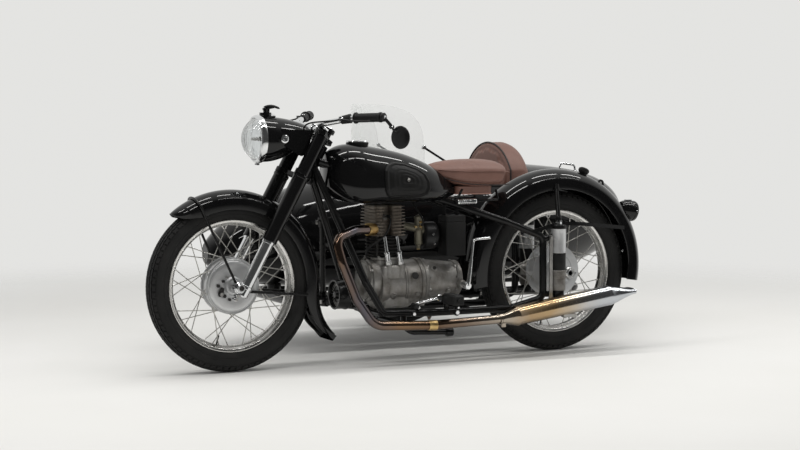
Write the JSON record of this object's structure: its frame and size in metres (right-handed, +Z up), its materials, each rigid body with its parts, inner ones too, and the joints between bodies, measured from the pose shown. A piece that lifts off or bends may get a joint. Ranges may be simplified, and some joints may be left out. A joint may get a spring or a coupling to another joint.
{
  "type": "sidecar motorcycle",
  "caption": "Vintage motorcycle with spoked wheels, telescopic fork and sprung leather saddle, coupled to a streamlined sidecar with a windscreen and padded seat.",
  "frame": {"origin": "on the floor, under the middle of the whole outfit", "axes": "+X forward, +Y to the rider's left, +Z up; the sidecar is on the right, towards -Y"},
  "size_m": [2.3349, 1.488, 0.9798],
  "materials": {
    "black_enamel": "high gloss stove enamel",
    "chrome": "polished plating",
    "polished_alloy": "polished",
    "cast_alloy": "satin casting",
    "black_iron": "heat-resisting black",
    "steel": "satin",
    "tyre": "moulded",
    "black_rubber": "matt",
    "tan_leather": "smooth waxed hide",
    "clear_glass": "clear",
    "clear_screen": "clear sheet"
  },
  "bodies": {
    "frame": {"main_frame": "black_enamel", "fuel_tank": "black_enamel", "tank_cap": "chrome", "knee_pad": "black_rubber", "engine_case": "cast_alloy", "cylinder": "black_iron", "cylinder_head": "cast_alloy", "pushrod_tubes": "chrome", "carburettor": "cast_alloy", "air_filter": "black_enamel", "battery_box": "black_enamel", "exhaust_pipe": "chrome", "silencer": "chrome", "silencer_hanger": "steel", "foot_controls": "steel", "footrests": "black_rubber", "saddle": "tan_leather", "saddle_springs": "steel", "rear_mudguard": "black_enamel", "tail_lamp": "black_enamel", "rear_plungers": "polished_alloy", "final_drive": "cast_alloy", "horn": "black_enamel", "sidecar_chassis": "black_enamel", "sidecar_body": "black_enamel", "sidecar_windscreen": "clear_screen", "sidecar_seat": "tan_leather", "sidecar_backrest": "tan_leather", "sidecar_mudguard": "black_enamel", "sidecar_lamp": "black_enamel", "screen_stays": "black_enamel", "deck_handle": "chrome"},
    "tool_lid": {"tool_lid": "black_rubber"},
    "centre_stand": {"centre_stand": "black_enamel"},
    "fork": {"fork_yokes": "black_enamel", "fork_legs": "polished_alloy", "fork_covers": "black_enamel", "front_axle": "polished_alloy", "headlamp_shell": "black_enamel", "headlamp_rim": "chrome", "headlamp_lens": "clear_glass", "front_mudguard": "black_enamel", "handlebar": "chrome", "handlebar_grips": "black_rubber", "mirror": "black_enamel", "control_cables": "black_rubber"},
    "front_wheel": {"front_tyre": "tyre", "front_rim": "polished_alloy", "front_hub": "cast_alloy"},
    "rear_wheel": {"rear_tyre": "tyre", "rear_rim": "polished_alloy", "rear_hub": "cast_alloy"},
    "sidecar_wheel": {"sidecar_tyre": "tyre", "sidecar_rim": "polished_alloy", "sidecar_hub": "cast_alloy"}
  },
  "joints": [
    {"name": "steering", "type": "hinge", "parent": "frame", "child": "fork", "pos_m": [0.78014, 0.332, 0.28018], "axis": [-0.4787, 0, 0.878], "range_deg": [-32, 32]},
    {"name": "front_wheel_spin", "type": "hinge", "parent": "fork", "child": "front_wheel", "pos_m": [0.8495, 0.332, 0.318], "axis": [0, 1, 0], "continuous": true},
    {"name": "rear_wheel_spin", "type": "hinge", "parent": "frame", "child": "rear_wheel", "pos_m": [-0.5155, 0.332, 0.318], "axis": [0, 1, 0], "continuous": true},
    {"name": "sidecar_wheel_spin", "type": "hinge", "parent": "frame", "child": "sidecar_wheel", "pos_m": [-0.3155, -0.678, 0.318], "axis": [0, 1, 0], "continuous": true},
    {"name": "stand_fold", "type": "hinge", "parent": "frame", "child": "centre_stand", "pos_m": [0.1965, 0.332, 0.152], "axis": [0, -1, 0], "range_deg": [0, 95]},
    {"name": "tool_lid_hinge", "type": "hinge", "parent": "frame", "child": "tool_lid", "pos_m": [0.1895, 0.464, 0.62], "axis": [-1, 0, 0], "range_deg": [0, 80]}
  ]
}
